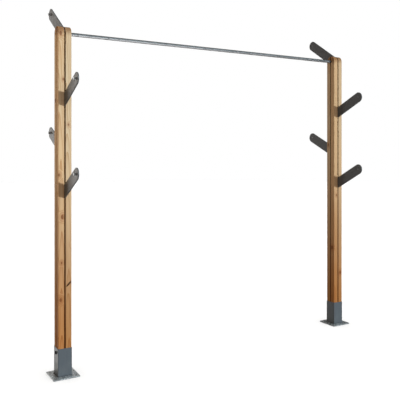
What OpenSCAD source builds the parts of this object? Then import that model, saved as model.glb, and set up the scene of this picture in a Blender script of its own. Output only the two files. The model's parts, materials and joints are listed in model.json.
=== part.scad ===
// Monkey bars for a playground: two square timber posts on steel feet, one round
// steel bar between their tops, and four sloping flat steel arms on each post.
// X runs along the bar, Y from front to back, Z up. The origin lies on the ground,
// midway between the posts.

/* [Posts] */
// Side of the square timber post
post_w = 95; // [80:1:120]
// Height of the post tops above the ground
post_top = 2450; // [2200:10:3000]
// Distance between the centre lines of the two posts
post_spacing = 2550; // [1500:10:3600]
// Radius of the post's long edges
arris_r = 4; // [2:0.5:8]
// Width of the relief groove down the middle of each face
groove_w = 8; // [4:0.5:10]
// Depth of the relief groove
groove_depth = 10; // [4:1:14]

/* [Feet] */
// Side of the square base plate
plate_w = 190; // [160:1:260]
// Thickness of the base plate
plate_t = 8; // [5:0.5:15]
// Radius of the base plate's corners
plate_corner_r = 6; // [2:1:15]
// Distance of each anchor hole's centre from the plate's edges
anchor_inset = 25; // [18:1:30]
// Diameter of the anchor holes
anchor_hole_d = 14; // [8:1:18]
// Length of the square tube that the post stands in
shoe_length = 192; // [120:1:300]
// Wall of the square tube
shoe_wall = 2.5; // [2:0.5:6]
// Outer corner radius of the square tube
shoe_corner_r = 5; // [4:0.5:8]
// Distance of the shoe screw below the tube's upper edge
shoe_screw_down = 35; // [25:1:60]
// Leg of the fillet weld between the tube and the base plate
weld_leg = 5; // [3:0.5:8]

/* [Bar] */
// Outside diameter of the bar
bar_d = 25; // [22:0.5:32]
// Wall of the bar's tube
bar_wall = 3; // [2:0.5:4]
// Wood left between the bar's end and the post's outer face
bar_end_wood = 12; // [8:1:20]
// Diameter of the pin that locks the bar in each post
pin_d = 8; // [5:0.5:10]
// How far the lock pin runs on in the wood past the bar
pin_bite = 4; // [2:0.5:15]
// Distance of the lock pin from the middle plane of the post, towards the span
pin_offset = 25; // [20:1:30]

/* [Arms] */
// Width of the flat arms, which is also twice the radius of their rounded ends
arm_w = 86; // [66:1:100]
// Thickness of the arms
arm_t = 8; // [5:0.5:12]
// How far an arm reaches out from the post's face
arm_reach = 295; // [200:5:450]
// Slope of the lower front arms above the level, in degrees
front_lower_slope = 27; // [10:1:35]
// Slope of the lower back arms
back_lower_slope = 25.5; // [10:0.5:35]
// Slope of the upper front arms
front_upper_slope = 25; // [10:1:35]
// Slope of the uppermost arms, which hold the ends of the bar
top_arm_slope = 33; // [15:1:40]
// Height at which an upper front arm's centre line crosses the post's axis
front_upper_z = 1914; // [1700:1:2100]
// Height at which a lower front arm's centre line crosses the post's axis
front_lower_z = 1269; // [700:1:1350]
// Height at which a lower back arm's centre line crosses the post's axis
back_lower_z = 1570; // [1450:1:1650]
// Distance from the post's axis to the centre of an arm's rounded root
arm_root_in = 8; // [4:1:12]

/* [Arm screws] */
// Diameter of the screws that hold the arms in the post
screw_d = 10; // [6:0.5:12]
// How far a screw runs on in the wood past the arm
screw_bite = 27; // [15:1:35]
// Distance of the outer screw in from the face that the arm comes out of
screw_inset = 20.5; // [16:0.5:24]
// Distance of the inner screw from the edge of the arm's rounded root
screw_edge = 16; // [12:0.5:20]
// Diameter of the screw's round head
screw_head_d = 17; // [14:0.5:19]
// Height of the screw's head
screw_head_h = 6; // [4:0.5:8]
// Diameter of the sunk washer and of the counterbore that it lies in
sunk_d = 20; // [18:0.5:21]
// Thickness of the sunk washer
sunk_washer_t = 2; // [1:0.5:3]
// Thickness of the wooden plug that covers a screw's head
plug_t = 9; // [6:1:12]
// Room between a screw's head and its plug
plug_room = 0.8; // [0.3:0.1:3]

/* [Tip bolts and shoe screws] */
// Diameter of the tip bolts
tip_bolt_d = 10; // [6:1:12]
// Size across the flats of the tip bolts and their nuts
tip_hex_af = 17; // [13:1:19]
// Height of the tip bolt's head
tip_head_h = 6.5; // [4:0.5:8]
// Height of the lock nut under the tip bolt's head
tip_nut_h = 8; // [5:0.5:10]
// Outside diameter of the tip bolt's washer
tip_washer_d = 22; // [20:1:26]
// How far a tip bolt's end lies in from the arm's inner face
tip_sunk = 0.5; // [0:0.5:2]
// Diameter of the shoe screws
shoe_screw_d = 12; // [8:1:14]
// Size across the flats of the shoe screws
shoe_hex_af = 19; // [15:1:22]
// Height of the shoe screw's head
shoe_head_h = 7.5; // [5:0.5:10]
// How far a shoe screw runs into the wood
shoe_screw_bite = 55; // [30:1:80]
// Outside diameter of the shoe screw's washer
shoe_washer_d = 26; // [24:1:34]
// Thickness of the tip and shoe washers
washer_t = 2; // [1:0.5:3]

/* [Clearances] */
// Room on each side between the post and its shoe
shoe_fit = 0.25; // [0.1:0.05:1]
// Room on each side between an arm and its slot, and round the arm's edge
slot_fit = 0.2; // [0.1:0.05:0.6]
// Room round a bolt, screw, pin or plug in its hole, on the radius
hole_fit = 0.2; // [0.1:0.05:0.5]
// Room round the bar in its holes, on the radius
bar_fit = 0.2; // [0.1:0.05:0.5]

/* [Hidden] */
$fn = 96;

left = -1;
right = 1;
front = -1;
back = 1;

// Spare length that makes a cut run clear past a face.
past = 10;

half_post = post_w / 2;
bar_z = post_top - half_post;
arm_r = arm_w / 2;
shoe_in = post_w + 2 * shoe_fit;
shoe_w = shoe_in + 2 * shoe_wall;
shoe_screw_z = plate_t + shoe_length - shoe_screw_down;
anchor_at = plate_w / 2 - anchor_inset;
bar_length = post_spacing + post_w - 2 * bar_end_wood;
pin_length = half_post + bar_d / 2 + pin_bite;
sunk_depth = plug_t + plug_room + screw_head_h + sunk_washer_t;

// Each arm: direction in Y, height of its centre line on the post's axis, slope,
// and whether the bar's end goes through it.
front_upper = [front, front_upper_z, front_upper_slope, false];
front_lower = [front, front_lower_z, front_lower_slope, false];
back_upper = [back, bar_z, top_arm_slope, true];
back_lower = [back, back_lower_z, back_lower_slope, false];
arms = [front_upper, front_lower, back_upper, back_lower];

// Distance along an arm's centre line to the centre of its rounded tip.
function tip_at(arm) = (half_post + arm_reach - arm_r) / cos(arm[2]);
// Distance along an arm's centre line to the centre of its rounded root.
function root_at(arm) = arm_root_in / cos(arm[2]);
// Distances along an arm's centre line to its two screws, either side of the post's axis.
function outer_screw(arm) = (half_post - screw_inset) / cos(arm[2]);
function inner_screw(arm) = root_at(arm) - arm_r + screw_edge;
// The bar takes the place of the inner screw in an arm that it goes through.
function screws_at(arm) = arm[3] ? [outer_screw(arm)] : [outer_screw(arm), inner_screw(arm)];

// Stands children, drawn round the post's axis, where the post on that side is.
module at_post(side) {
    translate([side * post_spacing / 2, 0, 0]) children();
}

// Turns children along Z into children along X, outwards on that side.
module outwards(side) {
    rotate([0, side * 90, 0]) children();
}

// Moves children to a point on an arm's centre line.
module on_arm(arm, along) {
    translate([0, arm[0] * along * cos(arm[2]), arm[1] + along * sin(arm[2])]) children();
}

// Square outline with rounded corners.
module rounded_square(w, r) {
    square([w, w - 2 * r], center = true);
    square([w - 2 * r, w], center = true);
    for (x = [-1, 1], y = [-1, 1])
        translate([x * (w / 2 - r), y * (w / 2 - r)]) circle(r = r);
}

// Outline of an arm, in its own plane: level, with both ends rounded.
module arm_outline(arm, grow) {
    translate([root_at(arm), -arm_r - grow])
        square([tip_at(arm) - root_at(arm), 2 * (arm_r + grow)]);
    translate([root_at(arm), 0]) circle(r = arm_r + grow);
    translate([tip_at(arm), 0]) circle(r = arm_r + grow);
}

// Flat piece of the arm's outline, in the post's middle plane.
module arm_blank(arm, thickness, grow) {
    translate([-thickness / 2, 0, arm[1]])
        rotate([90, 0, 90])
            linear_extrude(height = thickness)
                mirror([arm[0] == front ? 1 : 0, 0, 0])
                    rotate(arm[2])
                        arm_outline(arm, grow);
}

// Slot in the post for one arm. The slot of an uppermost arm is open to the top.
module arm_slot(arm) {
    slot_w = arm_t + 2 * slot_fit;
    arm_blank(arm, slot_w, slot_fit);
    if (arm[3])
        translate([-slot_w / 2, -half_post - past, arm[1]])
            cube([slot_w, post_w + 2 * past, half_post + past]);
}

// Round hole along X, from one distance outwards of the post's axis to another.
module cross_hole(side, d, from, to) {
    translate([side * from, 0, 0])
        outwards(side)
            cylinder(d = d, h = to - from);
}

module hexagon(af, h) {
    cylinder(d = af / cos(30), h = h, $fn = 6);
}

// The timber of a post, before it is drilled: four grooves and a half-round top.
module timber() {
    intersection() {
        translate([0, 0, plate_t])
            linear_extrude(height = post_top - plate_t)
                difference() {
                    rounded_square(post_w, arris_r);
                    for (turn = [0 : 90 : 270])
                        rotate(turn)
                            translate([half_post - groove_depth, -groove_w / 2])
                                square([groove_depth + past, groove_w]);
                }
        union() {
            translate([-half_post, -half_post, 0])
                cube([post_w, post_w, bar_z]);
            translate([-half_post, 0, bar_z])
                rotate([0, 90, 0])
                    cylinder(r = half_post, h = post_w);
        }
    }
}

module post(side) {
    color("burlywood")
        at_post(side)
            difference() {
                timber();
                for (arm = arms) {
                    arm_slot(arm);
                    for (at = screws_at(arm))
                        on_arm(arm, at) {
                            cross_hole(side, screw_d + 2 * hole_fit,
                                       -arm_t / 2 - screw_bite - hole_fit, half_post);
                            cross_hole(side, sunk_d + 2 * hole_fit,
                                       half_post - sunk_depth, half_post + past);
                        }
                }
                translate([0, 0, bar_z])
                    cross_hole(side, bar_d + 2 * bar_fit,
                               -half_post - past, half_post - bar_end_wood + bar_fit);
                lock_pin_place(side)
                    rotate([90, 0, 0])
                        translate([0, 0, -past])
                            cylinder(d = pin_d + 2 * hole_fit, h = pin_length + past);
                translate([0, 0, shoe_screw_z])
                    cross_hole(side, shoe_screw_d + 2 * hole_fit,
                               half_post - shoe_screw_bite - hole_fit, half_post + past);
            }
}

// Where a lock pin enters the back of its post.
module lock_pin_place(side) {
    translate([-side * pin_offset, half_post, bar_z]) children();
}

module base_plate(side) {
    color("lightsteelblue")
        at_post(side)
            difference() {
                linear_extrude(height = plate_t)
                    rounded_square(plate_w, plate_corner_r);
                for (x = [-1, 1], y = [-1, 1])
                    translate([x * anchor_at, y * anchor_at, -past])
                        cylinder(d = anchor_hole_d, h = plate_t + 2 * past);
            }
}

module shoe(side) {
    color("slategray")
        at_post(side)
            difference() {
                translate([0, 0, plate_t])
                    linear_extrude(height = shoe_length)
                        difference() {
                            rounded_square(shoe_w, shoe_corner_r);
                            rounded_square(shoe_in, shoe_corner_r - shoe_wall);
                        }
                translate([0, 0, shoe_screw_z])
                    cross_hole(side, shoe_screw_d + 2 * hole_fit, 0, shoe_w / 2 + past);
            }
}

// Sloping bead on one pair of the tube's sides, drawn across the full foot.
module weld_ridge() {
    low = shoe_w / 2 + weld_leg;
    rotate([90, 0, 0])
        linear_extrude(height = 2 * low, center = true)
            polygon([[-low, 0], [low, 0], [low - weld_leg, weld_leg], [weld_leg - low, weld_leg]]);
}

module foot_weld(side) {
    color("gray")
        at_post(side)
            translate([0, 0, plate_t])
                difference() {
                    intersection() {
                        weld_ridge();
                        rotate(90) weld_ridge();
                    }
                    translate([0, 0, -past])
                        linear_extrude(height = weld_leg + 2 * past)
                            rounded_square(shoe_w, shoe_corner_r);
                }
}

// Puts children on the shoe's outer face, where its screw goes in.
module on_shoe(side) {
    at_post(side)
        translate([side * shoe_w / 2, 0, shoe_screw_z])
            outwards(side)
                children();
}

module shoe_screw(side) {
    tip_z = half_post - shoe_screw_bite - shoe_w / 2;
    color("dimgray")
        on_shoe(side) {
            translate([0, 0, tip_z]) cylinder(d = shoe_screw_d, h = washer_t - tip_z);
            translate([0, 0, washer_t]) hexagon(shoe_hex_af, shoe_head_h);
        }
}

module ring(outer_d, inner_d, h) {
    difference() {
        cylinder(d = outer_d, h = h);
        translate([0, 0, -past]) cylinder(d = inner_d, h = h + 2 * past);
    }
}

module shoe_washer(side) {
    color("silver")
        on_shoe(side)
            ring(shoe_washer_d, shoe_screw_d + 2 * hole_fit, washer_t);
}

module top_bar() {
    color("gray")
        difference() {
            translate([0, 0, bar_z])
                rotate([0, 90, 0])
                    difference() {
                        cylinder(d = bar_d, h = bar_length, center = true);
                        cylinder(d = bar_d - 2 * bar_wall, h = bar_length + 2 * past, center = true);
                    }
            for (side = [left, right])
                at_post(side)
                    translate([-side * pin_offset, 0, bar_z])
                        rotate([90, 0, 0])
                            cylinder(d = pin_d + 2 * hole_fit, h = bar_d + 2 * past, center = true);
        }
}

module bar_lock_pins() {
    color("silver")
        for (side = [left, right])
            at_post(side)
                lock_pin_place(side)
                    rotate([90, 0, 0])
                        cylinder(d = pin_d, h = pin_length - hole_fit);
}

module arm(side, arm) {
    color("dimgray")
        at_post(side)
            difference() {
                arm_blank(arm, arm_t, 0);
                for (at = screws_at(arm))
                    on_arm(arm, at) arm_hole(screw_d + 2 * hole_fit);
                if (arm[3]) on_arm(arm, 0) arm_hole(bar_d + 2 * bar_fit);
                on_arm(arm, tip_at(arm)) arm_hole(tip_bolt_d + 2 * hole_fit);
            }
}

module arm_hole(d) {
    rotate([0, 90, 0]) cylinder(d = d, h = arm_t + 2 * past, center = true);
}

// Draws children at every screw of one post, looking outwards from the middle plane.
module at_screws(side) {
    at_post(side)
        for (arm = arms, at = screws_at(arm))
            on_arm(arm, at)
                outwards(side)
                    children();
}

module arm_screws(side) {
    tip_z = -arm_t / 2 - screw_bite;
    seat_z = half_post - sunk_depth + sunk_washer_t;
    color("silver")
        at_screws(side) {
            translate([0, 0, tip_z]) cylinder(d = screw_d, h = seat_z - tip_z);
            translate([0, 0, seat_z]) cylinder(d = screw_head_d, h = screw_head_h);
        }
}

module screw_washers(side) {
    color("silver")
        at_screws(side)
            translate([0, 0, half_post - sunk_depth])
                ring(sunk_d, screw_d + 2 * hole_fit, sunk_washer_t);
}

module screw_plugs(side) {
    color("peru")
        at_screws(side)
            translate([0, 0, half_post - plug_t])
                cylinder(d = sunk_d, h = plug_t);
}

// Draws children at every arm tip of one post, on the outer face of the arm.
module at_tips(side) {
    at_post(side)
        for (arm = arms)
            on_arm(arm, tip_at(arm))
                outwards(side)
                    translate([0, 0, arm_t / 2])
                        children();
}

// Each tip bolt goes in from outside, with a lock nut and a washer under its head.
module tip_bolts(side) {
    seat_z = washer_t + tip_nut_h;
    end_z = tip_sunk - arm_t;
    color("silver")
        at_tips(side) {
            translate([0, 0, end_z]) cylinder(d = tip_bolt_d, h = seat_z - end_z);
            translate([0, 0, seat_z]) hexagon(tip_hex_af, tip_head_h);
        }
}

module tip_nuts(side) {
    color("silver")
        at_tips(side)
            translate([0, 0, washer_t])
                difference() {
                    hexagon(tip_hex_af, tip_nut_h);
                    translate([0, 0, -past])
                        cylinder(d = tip_bolt_d + 2 * hole_fit, h = tip_nut_h + 2 * past);
                }
}

module tip_washers(side) {
    color("silver")
        at_tips(side)
            ring(tip_washer_d, tip_bolt_d + 2 * hole_fit, washer_t);
}

post(left);  // left_post
post(right);  // right_post
base_plate(left);  // left_base_plate
base_plate(right);  // right_base_plate
shoe(left);  // left_shoe
shoe(right);  // right_shoe
foot_weld(left);  // left_foot_weld
foot_weld(right);  // right_foot_weld
shoe_screw(left);  // left_shoe_screw
shoe_screw(right);  // right_shoe_screw
shoe_washer(left);  // left_shoe_washer
shoe_washer(right);  // right_shoe_washer
top_bar();
bar_lock_pins();
arm(left, front_upper);  // left_front_upper_arm
arm(right, front_upper);  // right_front_upper_arm
arm(left, front_lower);  // left_front_lower_arm
arm(right, front_lower);  // right_front_lower_arm
arm(left, back_upper);  // left_back_upper_arm
arm(right, back_upper);  // right_back_upper_arm
arm(left, back_lower);  // left_back_lower_arm
arm(right, back_lower);  // right_back_lower_arm
arm_screws(left);  // left_arm_screws
arm_screws(right);  // right_arm_screws
screw_washers(left);  // left_screw_washers
screw_washers(right);  // right_screw_washers
screw_plugs(left);  // left_screw_plugs
screw_plugs(right);  // right_screw_plugs
tip_bolts(left);  // left_tip_bolts
tip_bolts(right);  // right_tip_bolts
tip_nuts(left);  // left_tip_nuts
tip_nuts(right);  // right_tip_nuts
tip_washers(left);  // left_tip_washers
tip_washers(right);  // right_tip_washers
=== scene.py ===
# %% [markdown]
# # Timber bar frame with eight steel arms
#
# Two square timber posts stand in steel shoes. A steel bar joins their half-round tops,
# and each post holds four flat steel arms. The measured model is loaded first and never
# moves. Everything after it is built round its boxes, so a piece is right as soon as it
# is made, and nothing has to be fitted by eye.

# %% Load the measured model
import json
import math

import bmesh
import bpy
from mathutils import Matrix, Vector
from mathutils.geometry import tessellate_polygon


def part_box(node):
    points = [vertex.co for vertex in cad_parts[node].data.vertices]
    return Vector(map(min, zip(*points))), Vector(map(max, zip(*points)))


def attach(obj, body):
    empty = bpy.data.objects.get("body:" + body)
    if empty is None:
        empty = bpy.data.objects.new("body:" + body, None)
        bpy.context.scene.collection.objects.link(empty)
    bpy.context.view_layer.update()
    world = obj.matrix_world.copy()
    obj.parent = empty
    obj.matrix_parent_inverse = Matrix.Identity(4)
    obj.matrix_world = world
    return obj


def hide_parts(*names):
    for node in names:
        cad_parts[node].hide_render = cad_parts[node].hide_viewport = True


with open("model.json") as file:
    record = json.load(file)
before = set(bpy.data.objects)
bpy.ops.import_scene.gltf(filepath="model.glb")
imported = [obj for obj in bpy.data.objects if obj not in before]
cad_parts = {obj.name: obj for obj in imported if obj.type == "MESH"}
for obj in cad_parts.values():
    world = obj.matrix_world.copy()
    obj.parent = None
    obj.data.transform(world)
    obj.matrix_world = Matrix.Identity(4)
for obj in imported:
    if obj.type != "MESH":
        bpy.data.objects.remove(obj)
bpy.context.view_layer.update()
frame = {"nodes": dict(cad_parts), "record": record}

RECORD = frame["record"]
SIDES = {"left": -1, "right": 1}

# %% [markdown]
# ## Camera
#
# The camera stands at eye height to the left of the frame and looks level, so that
# upright posts stay parallel. A level camera keeps the horizon half way up its view. To
# bring the feet in, the lens is shifted down a little. Tilting the camera would bring
# them in too, and would make the posts lean.

# %% Camera
EYE = Vector((-2.516, -4.057, 1.552))
HEADING = math.radians(30.16)
FOCAL_MM = 52.8
LENS_SHIFT = -0.114

camera = bpy.data.objects.new("camera", bpy.data.cameras.new("camera"))
bpy.context.scene.collection.objects.link(camera)
bpy.context.scene.camera = camera
camera.location = EYE
camera.rotation_euler = (math.pi / 2, 0, -HEADING)
camera.data.lens = FOCAL_MM
camera.data.shift_y = LENS_SHIFT
bpy.context.scene.view_settings.view_transform = "Standard"

# %% [markdown]
# ## Shader maths as plain arithmetic
#
# A procedural material is a long sum, and a sum is easier to read as Python than as a
# drawing of nodes. A Wire holds one socket. Adding or multiplying wires adds the Math
# nodes, and every other kind of node comes from the one method called node.


# %% Shader maths
class Wire:
    """One output socket of a material's nodes, with arithmetic on it."""

    def __init__(self, socket):
        self.socket = socket

    def node(self, kind, settings=None, sockets=None, out=0):
        """Adds a node to the same material, and returns one of its outputs."""
        tree = self.socket.id_data
        made = tree.nodes.new(kind)
        for name, value in (settings or {}).items():
            setattr(made, name, value)
        for name, value in (sockets or {}).items():
            if isinstance(value, Wire):
                tree.links.new(value.socket, made.inputs[name])
            else:
                made.inputs[name].default_value = value
        return Wire(made.outputs[out])

    def other(self, out):
        """Another output of the node that this wire comes from."""
        return Wire(self.socket.node.outputs[out])

    def math(self, operation, *values):
        """A Math node of the given operation, on all the values given."""
        return self.node("ShaderNodeMath", {"operation": operation}, dict(enumerate(values)))

    def __add__(self, value):
        return self.math("ADD", self, value)

    def __sub__(self, value):
        return self.math("SUBTRACT", self, value)

    def __rsub__(self, value):
        return self.math("SUBTRACT", value, self)

    def __mul__(self, value):
        return self.math("MULTIPLY", self, value)

    def __truediv__(self, value):
        return self.math("DIVIDE", self, value)

    def __pow__(self, value):
        return self.math("POWER", self, value)

    __radd__ = __add__
    __rmul__ = __mul__


# %% Short names for the shader steps that repeat
def tint(red, green, blue):
    """A colour given as it looks on a screen, from 0 to 255, as the shader needs it."""
    shares = [value / 255 for value in (red, green, blue)]
    return (*[s / 12.92 if s <= 0.04045 else ((s + 0.055) / 1.055) ** 2.4 for s in shares], 1)


def ease(value, low, high):
    """0 below low and 1 above high, with a smooth rise between them."""
    return value.node(
        "ShaderNodeMapRange",
        {"interpolation_type": "SMOOTHSTEP"},
        {"Value": value, "From Min": low, "From Max": high},
    )


def mixed(share, first, second):
    """The first colour where share is 0 and the second where it is 1."""
    return share.node("ShaderNodeMix", {"data_type": "RGBA"}, {0: share, 6: first, 7: second}, out=2)


def shaded(colour, amount):
    """A colour made darker or lighter by a number."""
    return colour.node("ShaderNodeVectorMath", {"operation": "SCALE"}, {0: colour, "Scale": amount})


def stretched(place, x, y, z):
    """Coordinates that run faster or slower along each axis."""
    return place.node("ShaderNodeVectorMath", {"operation": "MULTIPLY"}, {0: place, 1: (x, y, z)})


def noise(place, scale, detail=2.0, out="Fac"):
    """Soft random values from 0 to 1."""
    return place.node(
        "ShaderNodeTexNoise", None, {"Vector": place, "Scale": scale, "Detail": detail}, out
    )


def stained(share, colour, stain):
    """The colour multiplied by a stain, where share is 1."""
    settings = {"data_type": "RGBA", "blend_type": "MULTIPLY"}
    return share.node("ShaderNodeMix", settings, {0: share, 6: colour, 7: stain}, out=2)


def bump(height, depth):
    """A surface normal for a relief of the given depth in metres."""
    return height.node("ShaderNodeBump", None, {"Height": height, "Distance": depth})


def new_finish(name):
    """A material, and a wire that carries the place on the piece in metres."""
    material = bpy.data.materials.new(name)
    material.use_nodes = True
    tree = material.node_tree
    place = Wire(tree.nodes.new("ShaderNodeTexCoord").outputs["Object"])
    return material, place


def feed(material, **values):
    """Sets or links the shader's own sockets, as in feed(steel, Roughness=0.4)."""
    shader = material.node_tree.nodes["Principled BSDF"]
    for name, value in values.items():
        socket = shader.inputs[name.replace("_", " ")]
        if isinstance(value, Wire):
            material.node_tree.links.new(value.socket, socket)
        else:
            socket.default_value = value
    return material


# %% [markdown]
# ## Light
#
# The key light is low, cool and fairly soft, like the sun behind thin cloud. It comes
# from the right of the front, lights the front faces, and lets the front arms throw
# their shadows on the posts. A broad orange lamp on the left lifts the outer face of the
# near post, which the key doesn't reach. The floor has a light of its own, straight from
# above, so that its shadows are faint and soft whatever the other lamps do.

# %% Lamps
TO_KEY = Vector((0.5, -1.0, 0.345))
KEY_STRENGTH = 2.2
KEY_ANGLE = math.radians(6)
KEY_COLOUR = (0.84, 1.0, 1.08)
LAMP_PLACE = Vector((-4.3, 0.9, 2.7))
LAMP_SIZE = 2.2
LAMP_POWER = 24
LAMP_COLOUR = (1.0, 0.70, 0.34)
LAMP_AIM_HEIGHT = 1.6
FLOOR_LIGHT_STRENGTH = 3.1
FLOOR_LIGHT_ANGLE = math.radians(90)


def add_lamp(name, kind, direction, **values):
    """A lamp that shines along the direction given."""
    lamp = bpy.data.objects.new(name, bpy.data.lights.new(name, kind))
    bpy.context.scene.collection.objects.link(lamp)
    lamp.rotation_euler = direction.to_track_quat("-Z", "Y").to_euler()
    for setting, value in values.items():
        setattr(lamp.data, setting, value)
    return lamp


key = add_lamp("key", "SUN", -TO_KEY, energy=KEY_STRENGTH, angle=KEY_ANGLE, color=KEY_COLOUR)
floor_light = add_lamp(
    "floor_light", "SUN", Vector((0, 0, -1)), energy=FLOOR_LIGHT_STRENGTH, angle=FLOOR_LIGHT_ANGLE
)
near_low, near_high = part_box("left_post")
lamp_aim = Vector(((near_low.x + near_high.x) / 2, 0, LAMP_AIM_HEIGHT))
side_lamp = add_lamp(
    "side_lamp", "AREA", lamp_aim - LAMP_PLACE,
    shape="DISK", size=LAMP_SIZE, energy=LAMP_POWER, color=LAMP_COLOUR,
)
side_lamp.location = LAMP_PLACE
print("lamps:", [lamp.name for lamp in (key, floor_light, side_lamp)])

# %% [markdown]
# The sky is warmer than the key and much weaker. Its brightness is worked out from the
# direction alone. It is bright in a low band at the back, which the coated steel mirrors
# at a glancing angle, and dark at the sides, which keeps the side faces of the posts
# brown.

# %% Sky
SKY_SIDE = 0.09
SKY_BACK = 2.2
SKY_FRONT = 0.40
SKY_TOP = 0.22
SKY_BELOW = 0.20
SKY_COLOUR = (1.0, 0.99, 0.97, 1)

world = bpy.data.worlds.new("sky")
bpy.context.scene.world = world
world.use_nodes = True
direction = Wire(world.node_tree.nodes.new("ShaderNodeTexCoord").outputs["Generated"])
parts = direction.node("ShaderNodeSeparateXYZ", None, {0: direction})
backwards, upwards = parts.other("Y"), parts.other("Z")
front = ease(0 - backwards, 0.3, 0.85) * (0.6 + 0.4 * ease(upwards, -0.25, 0.1))
back = ease(backwards, 0.70, 0.95) * (1 - ease(upwards, 0.14, 0.36))
brightness = SKY_SIDE + front * SKY_FRONT + back * SKY_BACK
brightness = brightness + ease(upwards, 0.3, 0.9) * SKY_TOP
brightness = brightness + ease(0 - upwards, 0.35, 0.9) * SKY_BELOW
sky = world.node_tree.nodes["Background"]
sky.inputs["Color"].default_value = SKY_COLOUR
world.node_tree.links.new(brightness.socket, sky.inputs["Strength"])
print("sky:", len(world.node_tree.nodes), "nodes")

# %% [markdown]
# ## Floor and backdrop
#
# The floor and the backdrop are white. Only the camera sees them, so that they don't
# light the steel from below. Light linking lets the floor's own light fall on the floor
# alone and keeps the key and the side lamp off it, which leaves a faint soft shadow round
# each foot and nothing else.

# %% Floor and backdrop
FLOOR_SIZE = 60
FLOOR_DROP = 0.0004
FLOOR_WHITE = (0.86, 0.86, 0.86, 1)
BACKDROP_RADIUS = 29
BLACK_PAINT = (0, 0, 0, 1)


def stage_paint(name, colour, glow):
    """A plain matt finish for the stage, which may glow."""
    material = bpy.data.materials.new(name)
    material.use_nodes = True
    shader = material.node_tree.nodes["Principled BSDF"]
    shader.inputs["Base Color"].default_value = colour
    shader.inputs["Specular IOR Level"].default_value = 0
    shader.inputs["Emission Color"].default_value = (1, 1, 1, 1)
    shader.inputs["Emission Strength"].default_value = glow
    return material


bpy.ops.mesh.primitive_plane_add(size=FLOOR_SIZE, location=(0, 0, -FLOOR_DROP))
floor = bpy.context.object
floor.name = "floor"
floor.data.materials.append(stage_paint("floor_paint", FLOOR_WHITE, glow=0))

bpy.ops.mesh.primitive_uv_sphere_add(radius=BACKDROP_RADIUS, location=(0, 0, 0))
backdrop = bpy.context.object
backdrop.name = "backdrop"
backdrop.data.materials.append(stage_paint("backdrop_paint", BLACK_PAINT, glow=1))
backdrop.visible_shadow = False

for staged in (floor, backdrop):
    staged.visible_diffuse = False
    staged.visible_glossy = False
    staged.visible_transmission = False

only_floor = bpy.data.collections.new("only_floor")
only_floor.objects.link(floor)
floor_light.light_linking.receiver_collection = only_floor
not_floor = bpy.data.collections.new("not_floor")
not_floor.objects.link(floor)
not_floor.collection_objects[0].light_linking.link_state = "EXCLUDE"
for lamp in (key, side_lamp):
    lamp.light_linking.receiver_collection = not_floor
print("staged a floor of", FLOOR_SIZE, "m")

# %% [markdown]
# ## Timber
#
# Each post is glued up from four staves, one in each corner, with a relief groove where
# they meet. Every stave comes from another board, so it has its own heart, tone and
# rings. The rings are cylinders round the heart of the tree. Cutting a straight post
# out of slightly leaning cylinders gives long arches on the faces and ring ends on the
# round top, with no image and no seams at the corners. Knots push the rings aside.
#
# The left post also has a bark pocket, a dark sliver where bark was caught in the wood.
# The wood is also made darker and browner towards the bottom, the round top goes grey
# with weather, and dirt and painted shade darken the grooves.

# %% Timber: the numbers
RING_PITCH = 0.0034
RING_WOBBLE = 0.0016
RING_SHARPNESS = 2.4
HEART_LEAN = 0.011
HEART_SWAY = 0.03
KNOT_STRETCH = 0.62
KNOT_PUSH = 0.009
POCKET_DEPTH = 0.012
GROOVE_HALF = 0.004
GROOVE_DEPTH = 0.010
GROOVE_FLARE = 0.0008
GROOVE_DARK_REACH = 0.0024
GROOVE_BLUR = 0.0006
SURFACE_FROM = 0.0012
SURFACE_TO = 0.0002
PINE_WARM = (tint(236, 196, 150), tint(194, 132, 82))
PINE_PALE = (tint(228, 202, 168), tint(202, 162, 120))
KNOT_HALO = tint(176, 104, 62)
KNOT_WOOD = tint(118, 62, 36)
DARKENING_TOP = 1.75
BOTTOM_DARKENING = (0.62, 0.38, 0.21, 1)
# Dirt and painted shade in and beside the grooves: the wood there is multiplied by this dark brown.
GROOVE_SHADE_AND_DIRT = (0.20, 0.12, 0.055, 1)
TOP_STAIN = (0.5, 0.4, 0.34, 1)
BARK = tint(62, 36, 18)


# %% Timber: staves, knots and rings
def stave_picker(x, y):
    """Returns a function that gives each of the four staves a number of its own."""
    right = x.math("GREATER_THAN", x, 0.0)
    back = y.math("GREATER_THAN", y, 0.0)
    both = right * back

    def pick(front_left, front_right, back_left, back_right):
        extra = back_right - back_left - front_right + front_left
        in_front = front_left + right * (front_right - front_left)
        return in_front + back * (back_left - front_left) + both * extra

    return pick


def nearest_knot(place, axis_x, knots):
    """The distance to the nearest knot, in knot radii. A knot is longer up the post."""
    nearest = None
    for knot_x, knot_y, knot_z, radius in knots:
        scale = (1 / radius, 1 / radius, KNOT_STRETCH / radius)
        offset = (-(axis_x + knot_x) * scale[0], -knot_y * scale[1], -knot_z * scale[2])
        reach = place.node(
            "ShaderNodeVectorMath", {"operation": "MULTIPLY_ADD"}, {0: place, 1: scale, 2: offset}
        )
        reach = reach.node("ShaderNodeVectorMath", {"operation": "LENGTH"}, {0: reach}, "Value")
        nearest = reach if nearest is None else nearest.math("MINIMUM", nearest, reach)
    return nearest


def late_rings(place, x, y, z, pick, hearts, swirl):
    """Rises to 1 in the dark late wood of each ring, round the stave's own heart."""
    drift = noise(stretched(place, 5, 5, 0.8), 1.0, 2.0, "Color")
    drift = drift.node("ShaderNodeSeparateXYZ", None, {0: drift})
    sway_x = (drift - 0.5) * HEART_SWAY
    sway_y = (drift.other("Y") - 0.5) * HEART_SWAY
    from_heart_x = x - pick(*[heart[0] for heart in hearts]) + sway_x + z * HEART_LEAN
    from_heart_y = y - pick(*[heart[1] for heart in hearts]) + sway_y - z * HEART_LEAN
    squares = from_heart_x * from_heart_x + from_heart_y * from_heart_y
    radius = squares.math("SQRT", squares)
    wobble = noise(stretched(place, 60, 60, 6), 1.0, 3.0)
    rings = (radius + (wobble - 0.5) * RING_WOBBLE + swirl * KNOT_PUSH) / RING_PITCH
    return rings.math("FRACT", rings) ** RING_SHARPNESS


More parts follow.
